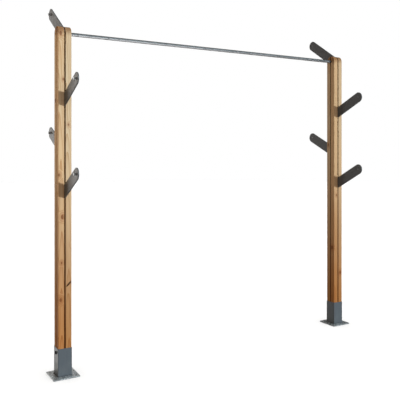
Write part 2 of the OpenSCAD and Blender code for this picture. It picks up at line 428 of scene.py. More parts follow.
# %% Timber: pocket and grooves
def bark_pocket(x, y, z, half, across, height, length, width, tilt):
    """1 in a dark sliver that lies askew in the front face."""
    over, up = x - across, z - height
    along = (over * math.cos(tilt) + up * math.sin(tilt)) / (length / 2)
    beside = (up * math.cos(tilt) - over * math.sin(tilt)) / (width / 2)
    near_front = y.math("LESS_THAN", y, POCKET_DEPTH - half)
    return (1 - ease(along * along + beside * beside, 0.7, 1.1)) * near_front


def groove_shade_and_dirt(x, y, half):
    """1 in the grooves, and along the mouths of the front and back ones: dirt and painted shade."""
    side_x, side_y = x.math("ABSOLUTE", x), y.math("ABSOLUTE", y)
    from_middle = side_x.math("MINIMUM", side_x, side_y)
    near_middle = 1 - ease(from_middle, GROOVE_HALF, GROOVE_HALF + GROOVE_BLUR)
    surface = (half - SURFACE_FROM, half - SURFACE_TO)
    sunk = 1 - ease(side_x.math("MAXIMUM", side_x, side_y), *surface)
    on_front = ease(side_y, *surface)
    # Painted shade and dirt: the faces are darkened for a little way beside the front and back grooves.
    mouth = 1 - ease(side_x, GROOVE_HALF + GROOVE_FLARE, GROOVE_HALF + GROOVE_DARK_REACH)
    return near_middle * sunk + on_front * mouth


# %% Timber: the finish of one post
def timber(name, axis_x, half, top, shade, warmth, hearts, knots, pocket=None):
    """Four staves, listed front left, front right, back left, back right."""
    material, place = new_finish(name)
    axes = place.node("ShaderNodeSeparateXYZ", None, {0: place})
    x, y, z = axes - axis_x, axes.other("Y"), axes.other("Z")
    pick = stave_picker(x, y)
    from_knot = nearest_knot(place, axis_x, knots)
    knot = 1 - ease(from_knot, 0.8, 1.15)
    swirl = 1 - ease(from_knot, 0.6, 3.6)
    late = late_rings(place, x, y, z, pick, hearts, swirl)
    blotch = noise(stretched(place, 9, 9, 2.3), 1.0, 3.0)
    fibre = noise(stretched(place, 800, 800, 11), 1.0, 3.0)

    # The wood itself: each stave's tone, then rings, knots and fibres.
    warm = pick(*warmth) + (blotch - 0.5) * 1.1
    early_wood = mixed(warm, PINE_PALE[0], PINE_WARM[0])
    late_wood = mixed(warm, PINE_PALE[1], PINE_WARM[1])
    colour = mixed(late * 0.75, early_wood, late_wood)
    colour = mixed(swirl * 0.35, colour, KNOT_HALO)
    colour = mixed(knot * 0.6, colour, KNOT_WOOD)
    # The shade number darkens the whole post. Below 1 it is painted shade, for light that is weaker
    # there.
    colour = shaded(colour, shade - 0.14 + fibre * 0.28)
    if pocket:
        colour = mixed(bark_pocket(x, y, z, half, *pocket) * 0.9, colour, BARK)

    # What is added on top: darker towards the bottom, the grey top, and dirt and painted shade in the
    # grooves.
    # The wood grows darker and browner from this height down to the bottom.
    darker_below = 1 - ease(z + (blotch - 0.5) * 0.5, 0.1, DARKENING_TOP)
    colour = stained(darker_below, colour, BOTTOM_DARKENING)
    weather = ease(z + (blotch - 0.5) * 0.06, top - 0.075, top - 0.02)
    colour = stained(weather, colour, TOP_STAIN)
    colour = stained(groove_shade_and_dirt(x, y, half), colour, GROOVE_SHADE_AND_DIRT)

    relief = fibre * 0.5 + late * 0.6
    return feed(
        material,
        Base_Color=colour,
        Roughness=0.52 + fibre * 0.18 - late * 0.06,
        Specular_IOR_Level=0.03,
        Normal=bump(relief, 0.0004),
    )


# %% [markdown]
# ## Steel
#
# The arms are powder coated, which leaves a fine orange peel and soft highlights. The
# coach screws are black, and the shoes have a thinner blue-grey coat that shows the
# drawing lines of the tube. One function makes all of these: a mottled colour, a little
# dust, and a bump for the peel. Only the colour, the gloss and the direction of the
# mottling differ.


# %% Coated steel
DUST_COLOUR = tint(150, 145, 138)


def times(screen_colour, factor):
    """A colour given as it looks on a screen, made darker or lighter."""
    return (*[part * factor for part in tint(*screen_colour)[:3]], 1)


def coated(name, colour, roughness, streak=(1, 1, 1), streaks=0.12):
    """Powder coat: mottled colour, a soft gloss, and a fine orange peel."""
    material, place = new_finish(name)
    mottle = noise(stretched(place, *streak), 26, 4.0)
    peel = noise(place, 620, 2.0)
    dust = ease(noise(place, 7, 5.0), 0.52, 0.75)
    paint = mixed(mottle, times(colour, 1 - streaks / 2), times(colour, 1 + streaks / 2))
    paint = mixed(dust * 0.1, paint, DUST_COLOUR)
    return feed(
        material,
        Base_Color=paint,
        Roughness=roughness + (mottle - 0.5) * 0.12 + dust * 0.12,
        Normal=bump(peel + mottle * 0.6, 0.0003),
    )


# %% [markdown]
# The base plates are hot-dip galvanised, with crystals a centimetre across, and the tip
# bolts are zinc plated, with finer ones. Cells of random colour are such crystals: each
# cell's colour gives its tone, its gloss and its tilt. The bar is bare drawn steel, with
# hair lines along it and hand-polished patches.


# %% Galvanised and bare steel
CRYSTAL_WARP = 0.006


def galvanised(name, colour, crystal=95):
    """Zinc crystals: each one reflects a little differently."""
    material, place = new_finish(name)
    bent = noise(place, 60, 2.0, "Color")
    bent = bent.node(
        "ShaderNodeVectorMath",
        {"operation": "MULTIPLY_ADD"},
        {0: bent, 1: (CRYSTAL_WARP,) * 3, 2: place},
    )
    cells = bent.node("ShaderNodeTexVoronoi", None, {"Vector": bent, "Scale": crystal}, "Color")
    shine = cells.node("ShaderNodeSeparateXYZ", None, {0: cells})
    stain = noise(place, 14, 4.0)
    metal = mixed(shine * 0.74 + stain * 0.26, times(colour, 0.72), times(colour, 1.18))
    return feed(
        material,
        Base_Color=metal,
        Metallic=0.55,
        Roughness=0.14 + shine.other("Y") * 0.16 + stain * 0.1,
        Normal=bump(shine.other("Z") + stain, 0.00012),
    )


def satin(name, colour, along, roughness=0.3):
    """Drawn bare steel: hair lines along the piece."""
    material, place = new_finish(name)
    hair = noise(stretched(place, *along), 1.0, 3.0)
    patch = noise(place, 3.5, 3.0)
    metal = mixed(hair * 0.54 + patch * 0.46, times(colour, 0.86), times(colour, 1.12))
    return feed(
        material,
        Base_Color=metal,
        Metallic=1.0,
        Roughness=roughness + hair * 0.1 + patch * 0.14,
        Normal=bump(hair, 0.00006),
    )


# %% [markdown]
# Each finish is made once, with its own numbers. The two posts share one way of making
# timber, but not one board: their staves, knots and tones differ. A knot is listed as its
# place across, along and up the post, with its radius, and all are in metres.

# %% The posts' boxes
POSTS = {}
for side in SIDES:
    low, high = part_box(f"{side}_post")
    POSTS[side] = (low + high) / 2
left_low, left_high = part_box("left_post")
POST_HALF = (left_high.x - left_low.x) / 2
POST_TOP = left_high.z
print("posts:", round(2 * POST_HALF * 1000, 1), "mm square, up to", round(POST_TOP, 3), "m")

# %% All the finishes
HEARTS = [(-0.020, 0.012), (0.031, 0.020), (-0.034, -0.024), (0.018, -0.006)]
WOOD = {
    "left": timber(
        "left_pine", POSTS["left"].x, POST_HALF, POST_TOP,
        shade=1.0, warmth=(0.85, 0.35, 0.6, 0.4), hearts=HEARTS,
        knots=[
            (-0.030, -0.046, 2.395, 0.010),
            (-0.012, -0.047, 2.076, 0.006),
            (-0.040, -0.044, 1.409, 0.008),
            (-0.018, -0.047, 1.117, 0.010),
            (-0.024, -0.046, 0.797, 0.006),
            (-0.030, -0.046, 0.540, 0.009),
            (0.026, -0.045, 1.760, 0.006),
            (-0.047, 0.020, 1.930, 0.011),
            (0.047, -0.022, 0.920, 0.010),
            (0.020, 0.047, 1.300, 0.012),
        ],
        pocket=(0.028, 0.647, 0.056, 0.0135, math.radians(45)),
    ),
    "right": timber(
        "right_pine", POSTS["right"].x, POST_HALF, POST_TOP,
        # Painted shade: the right post is made a little darker, for the weaker light that falls on it.
        shade=0.94, warmth=(1.15, 0.6, 0.45, 0.7),
        hearts=[HEARTS[2], HEARTS[0], HEARTS[3], HEARTS[1]],
        knots=[
            (-0.047, 0.028, 1.640, 0.009),
            (-0.047, -0.020, 0.700, 0.011),
            (-0.020, -0.047, 1.180, 0.007),
            (0.026, -0.046, 0.470, 0.010),
            (0.047, 0.018, 2.050, 0.012),
            (-0.022, 0.047, 0.980, 0.010),
        ],
    ),
}
ARM_COAT = coated("arm_coat", (88, 88, 90), 0.42)
SHOE_COAT = coated("shoe_coat", (88, 93, 98), 0.42, streak=(3, 3, 0.25), streaks=0.3)
BOLT_COAT = coated("bolt_coat", (38, 38, 40), 0.36)
WELD_COAT = coated("weld_coat", (70, 74, 78), 0.5, streaks=0.4)
ZINC_PLATE = galvanised("zinc_plate", (182, 186, 188))
ZINC_BOLT = galvanised("zinc_bolt", (186, 189, 192), crystal=300)
BAR_STEEL = satin("bar_steel", (98, 99, 100), along=(5, 700, 700), roughness=0.42)
print("finishes:", len(bpy.data.materials))

# %% [markdown]
# ## Tools for making meshes
#
# Nearly every piece is a stack of rings joined by faces, or a flat plate with rounded
# edges. Both are a few lines of code, and they give clean closed meshes, which the
# Boolean tool needs. A shell is a list of points and a list of faces.


# %% Rings, skins and plates
def ring(radius, height, steps=48):
    """A circle of points round Z."""
    turns = [2 * math.pi * step / steps for step in range(steps)]
    return [Vector((radius * math.cos(turn), radius * math.sin(turn), height)) for turn in turns]


def skin(rings, closed=False):
    """Faces between rings of equally many points, capped unless the stack closes on itself."""
    count, faces = len(rings[0]), []
    for at in range(len(rings) if closed else len(rings) - 1):
        here, there = at * count, (at + 1) % len(rings) * count
        for step in range(count):
            after = (step + 1) % count
            faces.append((here + step, here + after, there + after, there + step))
    if not closed:
        faces.append(tuple(reversed(range(count))))
        faces.append(tuple(range((len(rings) - 1) * count, len(rings) * count)))
    return [Vector(point) for points in rings for point in points], faces


def lathe(profile, steps=48, closed=False):
    """A turned piece. The profile lists (radius, height)."""
    return skin([ring(radius, height, steps) for radius, height in profile], closed)


def inset(outline, distance):
    """The outline moved into the material, which lies on its left."""
    moved = []
    for before, here, after in zip(outline[-1:] + outline[:-1], outline, outline[1:] + outline[:1]):
        arriving, leaving = (here - before).normalized(), (after - here).normalized()
        normal = Vector((-arriving.y, arriving.x))
        inward = Vector((-(arriving + leaving).y, (arriving + leaving).x)).normalized()
        moved.append(here + inward * (distance / inward.dot(normal)))
    return moved


def plate(outlines, thickness, edge, steps=3):
    """A flat plate in XY with rounded edges, of an anticlockwise outline and clockwise holes."""
    turns = [math.pi / 2 * step / steps for step in range(steps + 1)]
    upper = [(edge * (1 - math.sin(t)), thickness / 2 - edge * (1 - math.cos(t))) for t in turns]
    levels = upper + [(distance, -height) for distance, height in reversed(upper)]
    points, faces, top, bottom = [], [], [], []
    for outline in outlines:
        start, count = len(points), len(outline)
        for distance, height in levels:
            points += [Vector((*spot, height)) for spot in inset(outline, distance)]
        for level in range(len(levels) - 1):
            here, there = start + level * count, start + (level + 1) * count
            for k in range(count):
                after = (k + 1) % count
                faces.append((here + k, there + k, there + after, here + after))
        top += range(start, start + count)
        bottom += range(start + (len(levels) - 1) * count, start + len(levels) * count)
    flat = [[Vector((*spot, 0)) for spot in inset(outline, edge)] for outline in outlines]
    for triangle in tessellate_polygon(flat):
        faces.append(tuple(top[k] for k in triangle))
        faces.append(tuple(bottom[k] for k in reversed(triangle)))
    return points, faces


def arc(centre, radius, start, end, steps):
    """Points on part of a circle, between two angles in degrees."""
    turns = [math.radians(start + (end - start) * step / steps) for step in range(steps + 1)]
    return [Vector(centre) + Vector((radius * math.cos(t), radius * math.sin(t))) for t in turns]


def hole(centre, radius, steps=40):
    """A round hole's outline, clockwise."""
    return arc(centre, radius, 0, -360, steps)[:-1]


def rounded_square(half, radius, steps=6):
    """A square outline with round corners, anticlockwise."""
    points = []
    for turn, (x, y) in enumerate(((1, 1), (-1, 1), (-1, -1), (1, -1))):
        centre = (x * (half - radius), y * (half - radius))
        points += arc(centre, radius, 90 * turn, 90 * turn + 90, steps)
    return points


# %% Shells, cuts and finished pieces
SAME_POINT = 1e-6


def placed(matrix, shell):
    """A shell moved by a matrix."""
    return [matrix @ point for point in shell[0]], shell[1]


def joined(shells):
    """Several shells as one."""
    points, faces = [], []
    for shell_points, shell_faces in shells:
        faces += [tuple(index + len(points) for index in face) for face in shell_faces]
        points += shell_points
    return points, faces


def new_object(name, shell):
    """An object of a shell, with every face turned outwards."""
    mesh = bpy.data.meshes.new(name)
    mesh.from_pydata([tuple(point) for point in shell[0]], [], shell[1])
    work = bmesh.new()
    work.from_mesh(mesh)
    bmesh.ops.remove_doubles(work, verts=work.verts, dist=SAME_POINT)
    bmesh.ops.recalc_face_normals(work, faces=work.faces)
    work.to_mesh(mesh)
    work.free()
    made = bpy.data.objects.new(name, mesh)
    bpy.context.scene.collection.objects.link(made)
    return made


def settle(made):
    """Works out the object's modifiers and keeps the result as its mesh."""
    graph = bpy.context.evaluated_depsgraph_get()
    mesh = bpy.data.meshes.new_from_object(made.evaluated_get(graph), depsgraph=graph)
    made.modifiers.clear()
    made.data = mesh


def cut(made, *cutters):
    """Takes each cutter's shell out of the object."""
    tools = [new_object("cutter", shell) for shell in cutters]
    for tool in tools:
        modifier = made.modifiers.new("cut", "BOOLEAN")
        modifier.operation = "DIFFERENCE"
        modifier.solver = "EXACT"
        modifier.object = tool
    settle(made)
    for tool in tools:
        bpy.data.objects.remove(tool)


def hand_over(made, finish, slot, *nodes, crease=35):
    """Shades a finished piece, gives it its finish, and lets it stand for its CAD nodes."""
    made.data.materials.clear()
    made.data.materials.append(finish)
    made.data.shade_smooth()
    made.data.set_sharp_from_angle(angle=math.radians(crease))
    weighted = made.modifiers.new("weighted", "WEIGHTED_NORMAL")
    weighted.keep_sharp = True
    settle(made)
    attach(made, "root")
    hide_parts(*nodes)
    print(f"{made.name}: {len(made.data.vertices)} points, {len(made.data.polygons)} faces")


# %% [markdown]
# A CAD node can hold several equal solids, such as all the tip bolts of one side. Each
# solid is an island of joined points, so walking along the edges from any point finds
# the whole of it, and its box says where the detailed piece goes.


# %% Where the measured solids are
def solids_of(node):
    """The lowest and highest corner of each separate solid in a CAD node, from bottom to top."""
    work = bmesh.new()
    work.from_mesh(frame["nodes"][node].data)
    bmesh.ops.remove_doubles(work, verts=work.verts, dist=SAME_POINT)
    unseen, boxes = set(work.verts), []
    while unseen:
        to_visit = [unseen.pop()]
        found = []
        while to_visit:
            point = to_visit.pop()
            found.append(point.co.copy())
            for edge in point.link_edges:
                neighbour = edge.other_vert(point)
                if neighbour in unseen:
                    unseen.discard(neighbour)
                    to_visit.append(neighbour)
        low = Vector([min(point[axis] for point in found) for axis in range(3)])
        high = Vector([max(point[axis] for point in found) for axis in range(3)])
        boxes.append((low, high))
    work.free()
    return sorted(boxes, key=lambda box: [round(value, 5) for value in (box[0].z, box[0].y, box[0].x)])


def middle(box):
    """The centre of a box."""
    return (box[0] + box[1]) / 2


# %% Turning a drawing into place
# A drawing in XY turned so that its X runs to the back, its Y up and its thickness along X.
SIDE_ON = Matrix(((0, 0, 1, 0), (1, 0, 0, 0), (0, 1, 0, 0), (0, 0, 0, 1)))
# A piece drawn along Z, turned to run from the front to the back.
TO_THE_BACK = Matrix.Rotation(math.radians(-90), 4, "X")


def outwards(out):
    """Turns a piece drawn along Z to point along X, away from the span. Out is 1 or -1."""
    return Matrix.Rotation(math.radians(90 * out), 4, "Y")


# %% Where the arms run
ARM_NAMES = ["front_upper", "front_lower", "back_upper", "back_lower"]
ARM_HALF = 0.043
BORE_ROOM = 0.0002


def arm_lines(side, name):
    """The centres of an arm's round root and round tip, as (y, z)."""
    low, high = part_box(f"{side}_{name}_arm")
    root_y, tip_y = low.y + ARM_HALF, high.y - ARM_HALF
    if name.startswith("front"):
        root_y, tip_y = tip_y, root_y
    return Vector((root_y, low.z + ARM_HALF)), Vector((tip_y, high.z - ARM_HALF))


# %% [markdown]
# ## Posts
#
# The post is drawn as it looks from the side: a tall strip with a half-round top. Given
# its thickness, it becomes a post whose long edges and round top are all eased in the
# same way, which a square bar with a cylinder on top would not give. The grooves, the
# slots for the arms and the drilled holes are then cut as a joiner would cut them. Thin
# blades cut the drying checks that solid timber gets in the sun.

# %% Posts: cutters
ARRIS = 0.004
SLOT_HALF = 0.0042
ARM_ROOM = 0.0002
PLUG_HOLE_R = 0.0102
PLUG_HOLE_DEPTH = 0.0178
SCREW_HOLE_R = 0.0052
SHOE_HOLE_R = 0.0062
PIN_HOLE_R = 0.0042
CHECK_STATIONS = 24
CHECK_WAVE = 0.0011
CHECK_PAST = 0.001
PAST = 0.01


def box_shell(low, high):
    """A plain box, for cutting."""
    corners = [(low.x, low.y), (high.x, low.y), (high.x, high.y), (low.x, high.y)]
    return skin([[Vector((x, y, z)) for x, y in corners] for z in (low.z, high.z)])


def groove_shell(foot, top):
    """The cutter of one groove, on the +X face, with a flared mouth."""
    inner = POST_HALF - GROOVE_DEPTH
    profile = [
        (inner, -GROOVE_HALF),
        (POST_HALF - GROOVE_FLARE, -GROOVE_HALF),
        (POST_HALF + PAST, -GROOVE_HALF - GROOVE_FLARE - PAST),
        (POST_HALF + PAST, GROOVE_HALF + GROOVE_FLARE + PAST),
        (POST_HALF - GROOVE_FLARE, GROOVE_HALF),
        (inner, GROOVE_HALF),
    ]
    return skin([[Vector((x, y, z)) for x, y in profile] for z in (foot - PAST, top + PAST)])


def check_shell(start, length, width, depth, lean=0.0):
    """A thin wavy blade with both ends pointed, for a drying check in the front face."""
    rings = []
    for step in range(CHECK_STATIONS + 1):
        share = step / CHECK_STATIONS
        swell = max(math.sin(math.pi * share), 0.02) ** 0.7
        middle_x = start[0] + lean * share + CHECK_WAVE * math.sin(9 * share + start[1] * 7)
        height = start[1] + length * share
        half = width / 2 * swell
        rings.append([
            Vector((middle_x - half, -POST_HALF - CHECK_PAST, height)),
            Vector((middle_x + half, -POST_HALF - CHECK_PAST, height)),
            Vector((middle_x, -POST_HALF + depth * swell, height)),
        ])
    return skin(rings)


def stadium(root, tip, radius, steps=32):
    """An outline with two round ends, anticlockwise."""
    way = math.degrees(math.atan2(tip.y - root.y, tip.x - root.x))
    return arc(root, radius, way + 90, way + 270, steps) + arc(tip, radius, way - 90, way + 90, steps)


# %% Posts: drying checks
# Each check: (place across the front face, lowest height), length, width, depth, lean.
CHECKS = {
    "left": [
        ((0.012, 0.630), 0.034, 0.0036, 0.004, 0.032),
        ((-0.026, 0.905), 0.26, 0.0012, 0.006),
        ((0.024, 1.430), 0.22, 0.0012, 0.005),
        ((-0.034, 1.180), 0.16, 0.0010, 0.005),
        ((0.033, 0.330), 0.21, 0.0012, 0.005),
    ],
    "right": [
        ((-0.024, 0.560), 0.30, 0.0012, 0.006),
        ((0.026, 1.300), 0.22, 0.0012, 0.005),
        ((-0.030, 1.960), 0.16, 0.0010, 0.005),
    ],
}
print("drying checks:", {side: len(checks) for side, checks in CHECKS.items()})

# %% [markdown]
# The cutters come in groups, because cutters that touch each other would spoil a cut.
# Every bore runs a little past the face that it opens in, and a little past the end of
# what goes in it.


# %% Posts: the cutters of one side
def post_axis(side):
    """Moves what is drawn round Z to the post's axis."""
    return Matrix.Translation((POSTS[side].x, 0, 0))


def groove_cuts(side):
    """One groove down the middle of each face."""
    low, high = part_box(f"{side}_post")
    turns = [Matrix.Rotation(math.radians(90 * turn), 4, "Z") for turn in range(4)]
    return [placed(post_axis(side) @ turn, groove_shell(low.z, high.z)) for turn in turns]


def slot_cuts(side):
    """The slot that each arm slides into, a little wider than the arm."""
    slots = []
    for name in ARM_NAMES:
        outline = stadium(*arm_lines(side, name), ARM_HALF + ARM_ROOM)
        rings = [[Vector((y, z, x)) for y, z in outline] for x in (-SLOT_HALF, SLOT_HALF)]
        slots.append(placed(post_axis(side) @ SIDE_ON, skin(rings)))
    return slots


def screw_cuts(side):
    """The stepped bores of the arm screws and their plugs, and the coach screw's bore."""
    out, axis = SIDES[side], POSTS[side].x
    bores = []
    plug_seat = POST_HALF - PLUG_HOLE_DEPTH
    for low, high in solids_of(f"{side}_arm_screws"):
        deep = min(abs(low.x - axis), abs(high.x - axis))
        profile = [
            (SCREW_HOLE_R, -deep - BORE_ROOM), (SCREW_HOLE_R, plug_seat),
            (PLUG_HOLE_R, plug_seat), (PLUG_HOLE_R, POST_HALF + PAST),
        ]
        centre = Matrix.Translation((axis, middle((low, high)).y, middle((low, high)).z))
        bores.append(placed(centre @ outwards(out), lathe(profile, 40)))
    low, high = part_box(f"{side}_shoe_screw")
    deep = min(abs(low.x), abs(high.x)) - abs(axis) - BORE_ROOM
    centre = Matrix.Translation((axis, middle((low, high)).y, middle((low, high)).z))
    profile = [(SHOE_HOLE_R, deep), (SHOE_HOLE_R, POST_HALF + PAST)]
    bores.append(placed(centre @ outwards(out), lathe(profile, 40)))
    return bores


def bar_cuts(side):
    """The bar's bore, the open slot above it for the uppermost arm, and the pin's bore."""
    out, axis = SIDES[side], POSTS[side].x
    low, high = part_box("top_bar")
    bar_z, bar_r = (low.z + high.z) / 2, (high.z - low.z) / 2
    open_top = box_shell(
        Vector((axis - SLOT_HALF, -POST_HALF - PAST, bar_z)),
        Vector((axis + SLOT_HALF, POST_HALF + PAST, POST_TOP + PAST)),
    )
    pin = next(box for box in solids_of("bar_lock_pins") if middle(box).x * out > 0)
    pin_seat = Matrix.Translation((middle(pin).x, pin[0].y - BORE_ROOM, bar_z))
    pin_hole = placed(pin_seat @ TO_THE_BACK, lathe([(PIN_HOLE_R, 0), (PIN_HOLE_R, POST_HALF * 2)], 32))
    bar_end = max(abs(low.x), abs(high.x)) - abs(axis) + BORE_ROOM
    profile = [(bar_r + BORE_ROOM, -POST_HALF - PAST), (bar_r + BORE_ROOM, bar_end)]
    bar_hole = placed(Matrix.Translation((axis, 0, bar_z)) @ outwards(out), lathe(profile, 48))
    return open_top, pin_hole, bar_hole


def post_cuts(side):
    """All the cutters, in groups. The cutters in one group don't touch each other."""
    open_top, pin_hole, bar_hole = bar_cuts(side)
    checks = [placed(post_axis(side), check_shell(*check)) for check in CHECKS[side]]
    return [
        joined(groove_cuts(side)),
        joined(slot_cuts(side)),
        joined(screw_cuts(side)),
        joined([open_top, pin_hole]),
        joined([bar_hole, *checks]),
    ]


# %% Posts: made
for side in SIDES:
    low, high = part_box(f"{side}_post")
    shoulder = high.z - POST_HALF
    strip = [Vector((-POST_HALF, low.z)), Vector((POST_HALF, low.z))]
    strip += arc((0, shoulder), POST_HALF, 0, 180, 48)
    blank = plate([strip], 2 * POST_HALF, ARRIS, steps=5)
    post = new_object(f"{side}_timber", placed(post_axis(side) @ SIDE_ON, blank))
    cut(post, *post_cuts(side))
    hand_over(post, WOOD[side], "post_timber", f"{side}_post")

# %% [markdown]
# ## Arms
#
# An arm is a flat bar with two round ends, cut from 8 mm plate. Laser-cut plate that is
# powder coated has softly rounded edges, and these catch the light, so the outline and
# every hole get a small round of their own.

# %% Arms
ARM_EDGE = 0.0009
TIP_HOLE_R = 0.0052
NEAR_ROOT = 0.8 * POST_HALF

for side in SIDES:
    for name in ARM_NAMES:
        low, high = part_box(f"{side}_{name}_arm")
        root, tip = arm_lines(side, name)
        holes = [hole(tip, TIP_HOLE_R)]
        for screw in solids_of(f"{side}_arm_screws"):
            centre = Vector(middle(screw).yz)
            if (centre - root).length < NEAR_ROOT:
                holes.append(hole(centre, SCREW_HOLE_R))
        if name == "back_upper":
            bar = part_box("top_bar")
            holes.append(hole(middle(bar).yz, (bar[1].z - bar[0].z) / 2 + BORE_ROOM, 48))
        blank = plate([stadium(root, tip, ARM_HALF), *holes], high.x - low.x, ARM_EDGE)
        upright = Matrix.Translation((middle((low, high)).x, 0, 0)) @ SIDE_ON
        arm = new_object(f"{side}_{name}_hook", placed(upright, blank))
        hand_over(arm, ARM_COAT, "arm_steel", f"{side}_{name}_arm")

# %% [markdown]
# ## Bar and its pins
#
# The bar is a plain drawn tube. Its ends disappear in the posts, so all that shows is
# the long satin cylinder. It is turned as a closed profile with a real bore, and the
# two pin holes are cut across it. Their cutter is turned a few degrees, so that none of
# its edges lands on an edge of the tube, where the Boolean tool would leave a fault.

# %% Bar
TUBE_WALL = 0.003
TUBE_EDGE = 0.0004
CUTTER_LENGTH = 0.1

bar_low, bar_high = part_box("top_bar")
bar_r = (bar_high.z - bar_low.z) / 2
bar_axis = Matrix.Translation((bar_low.x, 0, (bar_low.z + bar_high.z) / 2)) @ outwards(1)
length = bar_high.x - bar_low.x
inner = bar_r - TUBE_WALL
profile = [(inner, TUBE_EDGE), (inner + TUBE_EDGE, 0), (bar_r - TUBE_EDGE, 0), (bar_r, TUBE_EDGE)]
profile += [(radius, length - height) for radius, height in reversed(profile)]
tube = new_object("grip_bar", placed(bar_axis, lathe(profile, 72, closed=True)))

pins = solids_of("bar_lock_pins")
pin_r = (pins[0][1].x - pins[0][0].x) / 2
off_the_seams = Matrix.Rotation(math.radians(3), 4, "Z")
cutters = []
for pin in pins:
    start = Matrix.Translation((middle(pin).x, -CUTTER_LENGTH / 2, middle(pin).z))
    profile = [(pin_r + BORE_ROOM, 0), (pin_r + BORE_ROOM, CUTTER_LENGTH)]
    cutters.append(placed(start @ TO_THE_BACK @ off_the_seams, lathe(profile, 32)))
cut(tube, joined(cutters))
hand_over(tube, BAR_STEEL, "bar_steel", "top_bar")

# %% [markdown]
# Polished steel looks like what it mirrors. A white card held under the bar would give it
# its pale underside, and here a lamp that shines upwards does. Light linking keeps it on
# the bar, so it changes nothing else.

# %% Light under the bar
REFLECTOR_STRENGTH = 24
REFLECTOR_WAY = Vector((0, 0.8, 1))
REFLECTOR_ANGLE = math.radians(60)

under_bar = bpy.data.collections.new("under_bar")
under_bar.objects.link(tube)
reflector = add_lamp(
    "reflector", "SUN", REFLECTOR_WAY, energy=REFLECTOR_STRENGTH, angle=REFLECTOR_ANGLE
)
reflector.light_linking.receiver_collection = under_bar

# %% Lock pins
PIN_NOSE = 0.001
# The rounded end, from the rim inwards: how far in from the side, and down from the end.
PIN_DOME = [(0, 0.0008), (0.0004, 0.0002), (0.0012, 0)]

pin_shells = []
for pin in pins:
    size = pin[1].y - pin[0].y
    profile = [(pin_r - PIN_NOSE, 0), (pin_r, PIN_NOSE)]
    profile += [(pin_r - inwards, size - down) for inwards, down in PIN_DOME]
    at = Matrix.Translation((middle(pin).x, pin[0].y, middle(pin).z))
    pin_shells.append(placed(at @ TO_THE_BACK, lathe(profile, 32)))
hand_over(new_object("lock_pins", joined(pin_shells)), ZINC_BOLT, "screw_steel", "bar_lock_pins")

# %% [markdown]
# ## Feet
#
# The shoe is square tube with a thin wall and tight round corners. It is drawn as a
# plate as thick as the shoe is high, with the inside of the tube as its hole. The base
# plate is drawn the same way, with four anchor holes.

# %% Shoes and base plates
SHOE_WALL = 0.0025
SHOE_CORNER = 0.005
SHOE_EDGE = 0.0005
PLATE_CORNER = 0.006
PLATE_EDGE = 0.0007

for side, out in SIDES.items():
    low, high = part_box(f"{side}_shoe")
    half = (high.x - low.x) / 2
    walls = [
        rounded_square(half, SHOE_CORNER),
        rounded_square(half - SHOE_WALL, SHOE_CORNER - SHOE_WALL)[::-1],
    ]
    blank = plate(walls, high.z - low.z, SHOE_EDGE, steps=2)
    shoe = new_object(f"{side}_tube_shoe", placed(Matrix.Translation(middle((low, high))), blank))
    screw = middle(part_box(f"{side}_shoe_screw"))
    through = Matrix.Translation((POSTS[side].x, screw.y, screw.z)) @ outwards(out)
    cut(shoe, placed(through, lathe([(SHOE_HOLE_R, 0), (SHOE_HOLE_R, half + PAST)], 40)))
    hand_over(shoe, SHOE_COAT, "shoe_steel", f"{side}_shoe")

    low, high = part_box(f"{side}_base_plate")
    mount = next(m for m in RECORD["mounts"] if m["name"] == f"{side}_anchor_holes")
    reach = mount["dims"]["spacing_x_mm"] / 2 / 1000
    anchor_r = mount["dims"]["hole_r_mm"] / 1000
    outlines = [rounded_square((high.x - low.x) / 2, PLATE_CORNER)]
    outlines += [hole((x * reach, y * reach), anchor_r) for x in (-1, 1) for y in (-1, 1)]
    blank = plate(outlines, high.z - low.z, PLATE_EDGE)
    base = new_object(f"{side}_foot_plate", placed(Matrix.Translation(middle((low, high))), blank))
    hand_over(base, ZINC_PLATE, "plate_steel", f"{side}_base_plate")

# %% [markdown]
# A weld joins each shoe to its plate. It is swept round the foot as a bead that rises and
# falls with every dip of the welding rod, so its rings are close together. A strip of
# each ring lies just inside the shoe, so that no gap shows.

# %% Welds
WELD_DIP = 0.0032
WELD_STEP = 0.0008
WELD_LOW = 0.88
WELD_RISE = 0.11
WELD_FULLNESS = 0.8
WELD_SUNK = 0.0003

for side in SIDES:
    low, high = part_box(f"{side}_foot_weld")
    shoe_half = (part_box(f"{side}_shoe")[1].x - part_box(f"{side}_shoe")[0].x) / 2
    leg = high.z - low.z
    path = []
    corners = rounded_square(shoe_half, SHOE_CORNER, 12)
    for here, after in zip(corners, corners[1:] + corners[:1]):
        parts = max(1, round((after - here).length / WELD_STEP))
        path += [here.lerp(after, part / parts) for part in range(parts)]
    rings, run = [], 0.0
    for before, here, after in zip(path[-1:] + path[:-1], path, path[1:] + path[:1]):
        run += (here - before).length
        along = (after - before).normalized()
        outward = Vector((along.y, -along.x))
        size = leg * (WELD_LOW + WELD_RISE * abs(math.sin(math.pi * run / WELD_DIP)))
        section = [(-WELD_SUNK, 0.0)]
        section += [
            (size * math.sin(turn) ** WELD_FULLNESS, size * math.cos(turn) ** WELD_FULLNESS)
            for turn in [math.pi / 2 * step / 6 for step in range(6, -1, -1)]
        ]
        section.append((-WELD_SUNK, size))
        rings.append([
            Vector((*(here + outward * away), low.z + height)) for away, height in section
        ])
    bead = new_object(f"{side}_weld_bead", placed(post_axis(side), skin(rings, closed=True)))
    hand_over(bead, WELD_COAT, "weld_steel", f"{side}_foot_weld", crease=60)

# %% [markdown]
# ## Bolts, nuts, washers and plugs
#
# A forged hexagon head has a chamfer turned on it, which cuts the six corners into
# curves. Walking round the head, the distance to the flats changes, and the chamfer's
# height follows from it. The same idea makes the nut. The thread is a real helix: each
# ring of points is pushed out and in, a little later on every ring.


